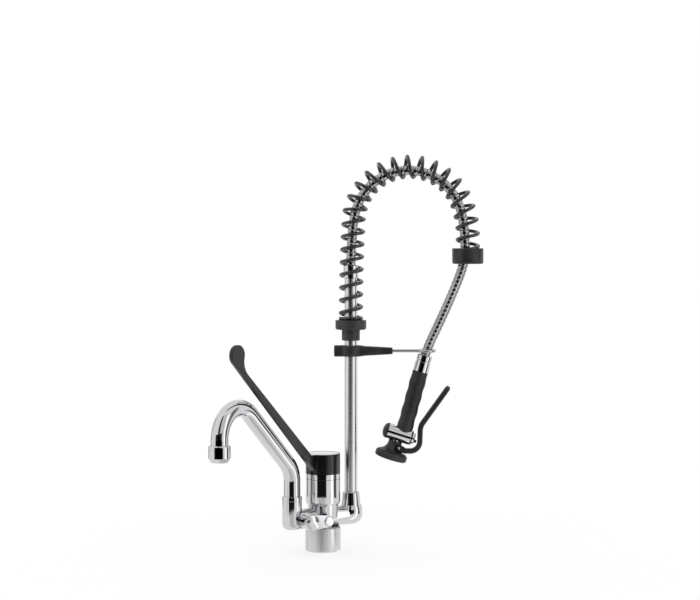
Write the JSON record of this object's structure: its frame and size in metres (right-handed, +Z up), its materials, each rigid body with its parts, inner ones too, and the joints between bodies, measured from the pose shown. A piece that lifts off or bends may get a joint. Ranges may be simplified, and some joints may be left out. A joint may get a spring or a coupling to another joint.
{
  "type": "pre_rinse_faucet",
  "caption": "Deck-mounted kitchen mixer with a long lever, swivel spout, and a column with a hose in a spring arch and a trigger hand spray hung on a side arm.",
  "frame": {"origin": "centre of the pedestal's bottom face, on the deck", "axes": "+Z up along the pedestal, +X along the mixer's arms from the spout to the column, -Y the front, where the spout's shut-off knob is"},
  "size_m": [0.4619, 0.1476, 0.6105],
  "materials": {
    "satin_steel": "vertical satin brushing",
    "chrome": "polished chrome plate",
    "steel": "bright stainless",
    "brass": "machined brass",
    "black_plastic": "fine satin moulding",
    "white_plastic": "moulded",
    "coated_wire": "smooth black coating on wire",
    "black_rubber": "soft matt"
  },
  "bodies": {
    "mixer": {"base_sleeve": "satin_steel", "base_gasket": "black_rubber", "foot_block": "brass", "mixer_body": "chrome", "ceramic_cartridge": "white_plastic", "cartridge_nut": "brass", "cover_ring": "chrome", "spout_nut": "chrome", "valve_headwork": "brass", "column_nut": "chrome", "column_seal": "black_rubber", "column_tube": "chrome", "column_top_nut": "chrome", "top_washer": "black_rubber", "lower_spring_cup": "black_plastic", "cup_screw": "steel"},
    "lever": {"mixer_lever": "black_plastic", "lever_screw": "steel", "lever_cap": "chrome", "cartridge_stem": "brass"},
    "spout": {"spout_tube": "chrome", "spout_spigot": "brass", "spout_o_rings": "black_rubber", "aerator_housing": "chrome", "aerator_insert": "white_plastic", "aerator_washer": "black_rubber"},
    "knob": {"shutoff_knob": "chrome", "headwork_spindle": "steel", "knob_screw": "steel"},
    "arch": {"arch_spring": "coated_wire", "hose": "chrome", "hose_ferrule": "chrome", "upper_spring_cup": "black_plastic", "arm_clamp": "black_plastic", "arm_clamp_screw": "steel", "arm_hook": "steel", "hose_nut": "chrome"},
    "handset": {"handle_neck": "chrome", "handle_tube": "brass", "spray_grip": "black_rubber", "valve_body": "chrome", "valve_end_cap": "black_plastic", "gland_ring": "black_plastic", "gland_nut": "brass", "return_spring": "steel", "spray_head": "black_plastic", "spray_bumper": "black_rubber", "spray_face": "steel", "pivot_pin": "steel"},
    "trigger_lever": {"trigger": "black_plastic"},
    "stem": {"valve_stem": "steel"}
  },
  "joints": [
    {"name": "lever_turn", "type": "hinge", "parent": "mixer", "child": "lever", "pos_m": [0, 0, 0.119], "axis": [0, 0, 1], "range_deg": [0, 100]},
    {"name": "spout_swivel", "type": "hinge", "parent": "mixer", "child": "spout", "pos_m": [-0.0548, 0, 0.081], "axis": [0, 0, 1], "range_deg": [-120, 7]},
    {"name": "knob_turn", "type": "hinge", "parent": "mixer", "child": "knob", "pos_m": [-0.0388, -0.016, 0.05], "axis": [0, -1, 0], "range_deg": [0, 90]},
    {"name": "arch_swing", "type": "hinge", "parent": "mixer", "child": "arch", "pos_m": [0.0508, 0, 0.353], "axis": [0, 0, 1], "range_deg": [-90, 90]},
    {"name": "handset_swivel", "type": "hinge", "parent": "arch", "child": "handset", "pos_m": [0.14686, -0.06003, 0.28926], "axis": [0.2256, -0.141, 0.964], "range_deg": [-180, 180]},
    {"name": "trigger_pull", "type": "hinge", "parent": "handset", "child": "trigger_lever", "pos_m": [0.11364, -0.03927, 0.154], "axis": [-0.5299, -0.848, 0], "range_deg": [0, 6], "stiffness_Nm_per_rad": 1.5, "springref_deg": -8.59},
    {"name": "stem_slide", "type": "slide", "parent": "handset", "child": "stem", "axis": [-0.7854, 0.4908, 0.3771], "range_m": [0, 0.0016]}
  ],
  "couplings": [
    {"joint": "stem_slide", "follows": "trigger_pull", "m_per_rad": 0.0135}
  ]
}
